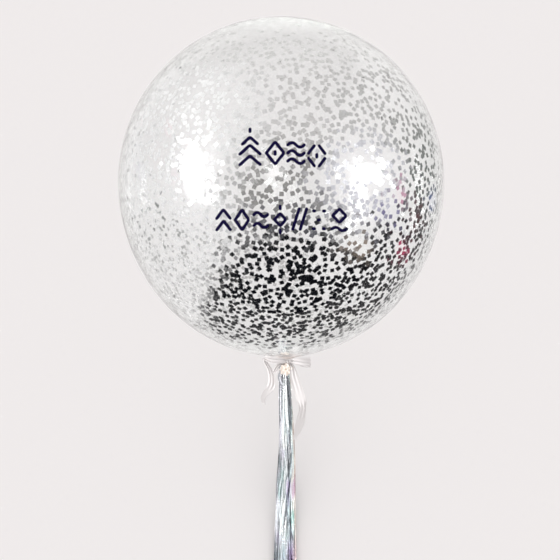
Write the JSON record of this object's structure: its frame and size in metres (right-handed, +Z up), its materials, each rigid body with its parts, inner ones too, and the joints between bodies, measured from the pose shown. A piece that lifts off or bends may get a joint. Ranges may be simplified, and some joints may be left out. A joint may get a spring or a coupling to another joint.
{
  "type": "clear bubble balloon with tinsel tail",
  "caption": "Large clear round balloon lying on its back, filled with square foil confetti, with strokes on the front, a ribbon bow at the gathered neck and a long foil tinsel tail.",
  "frame": {"origin": "on the floor, in the middle of the small flat spot on which the balloon rests, straight below the middle of the round film", "axes": "+Y from the neck towards the crown of the balloon, -Y along the tinsel tail, +Z up from the floor through the front of the balloon, +X to the right when looking down with the crown at the top"},
  "size_m": [0.6, 1.3239, 0.597],
  "materials": {
    "clear_film": "clear, glossy stretched film, see-through",
    "confetti_foil": "mirror-bright metallised film flakes, some nearly black where they reflect the dark",
    "vinyl_strokes": "dark violet-navy cut vinyl, satin",
    "satin_ribbon": "white satin with a faint pink shade, soft sheen",
    "tinsel_foil": "creased silver foil with faint blue, aqua and violet tints"
  },
  "bodies": {
    "root": {"balloon": "clear_film", "ribbon_bow": "satin_ribbon", "tinsel_tail": "tinsel_foil"}
  },
  "joints": []
}
